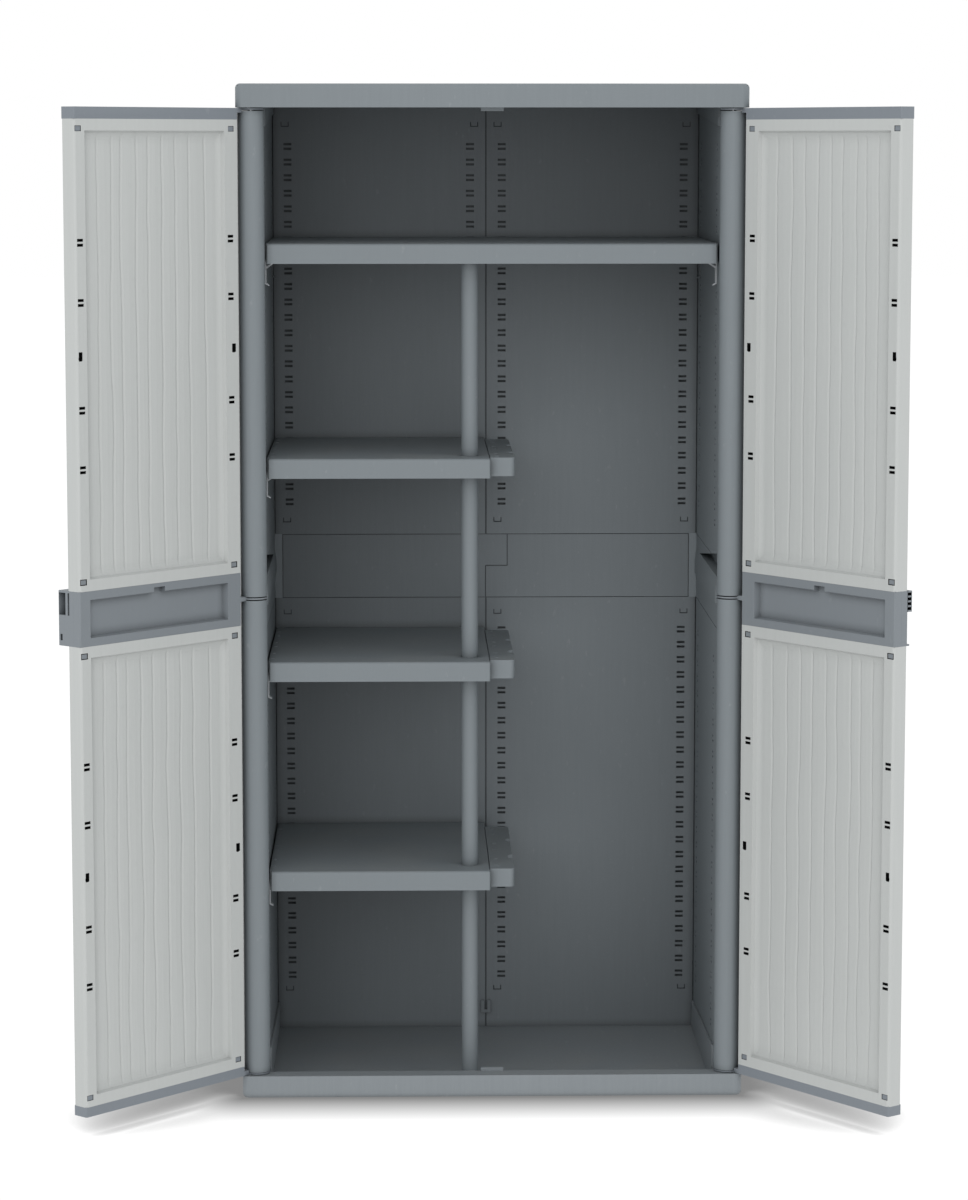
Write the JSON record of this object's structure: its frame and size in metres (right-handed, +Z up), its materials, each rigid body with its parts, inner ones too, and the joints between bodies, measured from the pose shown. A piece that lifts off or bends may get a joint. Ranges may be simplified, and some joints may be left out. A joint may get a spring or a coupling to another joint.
{
  "type": "storage cabinet",
  "caption": "Tall resin garden storage cabinet with two swing doors, a full-width shelf, half shelves, tool holders and a tall broom bay.",
  "frame": {"origin": "middle of the base's underside, on the floor", "axes": "+X to the right seen from the front, +Y to the back, +Z up; the doors are on the -Y side"},
  "size_m": [1.4434, 0.8484, 1.8],
  "materials": {
    "light_grey_door_plastic": "fine satin grain",
    "grey_carcass_plastic": "fine satin grain",
    "grey_shelf_plastic": "smooth satin",
    "dark_grey_bracket_plastic": "smooth",
    "hinge_pin_steel": "plain"
  },
  "bodies": {
    "cabinet": {"back_seam_clip": "grey_carcass_plastic", "base_tray": "grey_carcass_plastic", "front_shelf_brackets": "dark_grey_bracket_plastic", "full_shelf": "grey_shelf_plastic", "half_shelf_1": "grey_shelf_plastic", "half_shelf_2": "grey_shelf_plastic", "half_shelf_3": "grey_shelf_plastic", "hinge_bushes": "grey_carcass_plastic", "hinge_pins": "hinge_pin_steel", "left_back_belt": "grey_carcass_plastic", "left_back_panel_lower": "grey_carcass_plastic", "left_back_panel_upper": "grey_carcass_plastic", "left_side_belt": "grey_carcass_plastic", "left_side_panel_lower": "grey_carcass_plastic", "left_side_panel_upper": "grey_carcass_plastic", "rear_shelf_brackets": "dark_grey_bracket_plastic", "right_back_belt": "grey_carcass_plastic", "right_back_panel_lower": "grey_carcass_plastic", "right_back_panel_upper": "grey_carcass_plastic", "right_side_belt": "grey_carcass_plastic", "right_side_panel_lower": "grey_carcass_plastic", "right_side_panel_upper": "grey_carcass_plastic", "roof_cap": "grey_carcass_plastic", "shelf_post_1": "grey_shelf_plastic", "shelf_post_2": "grey_shelf_plastic", "shelf_post_3": "grey_shelf_plastic", "shelf_post_4": "grey_shelf_plastic", "tool_holder_1": "grey_shelf_plastic", "tool_holder_2": "grey_shelf_plastic", "tool_holder_3": "grey_shelf_plastic"},
    "left_door": {"left_door_belt": "grey_carcass_plastic", "left_door_cap_bottom": "grey_carcass_plastic", "left_door_cap_top": "grey_carcass_plastic", "left_door_handle": "grey_carcass_plastic", "left_door_panel_lower": "light_grey_door_plastic", "left_door_panel_upper": "light_grey_door_plastic"},
    "right_door": {"right_door_belt": "grey_carcass_plastic", "right_door_cap_bottom": "grey_carcass_plastic", "right_door_cap_top": "grey_carcass_plastic", "right_door_handle": "grey_carcass_plastic", "right_door_panel_lower": "light_grey_door_plastic", "right_door_panel_upper": "light_grey_door_plastic"}
  },
  "joints": [
    {"name": "left_door_hinge", "type": "hinge", "parent": "cabinet", "child": "left_door", "pos_m": [-0.4215, -0.24, 0.9], "axis": [0, 0, 1], "range_deg": [-47.8, 132.2]},
    {"name": "right_door_hinge", "type": "hinge", "parent": "cabinet", "child": "right_door", "pos_m": [0.4215, -0.24, 0.9], "axis": [0, 0, 1], "range_deg": [-126.6, 53.4]}
  ]
}
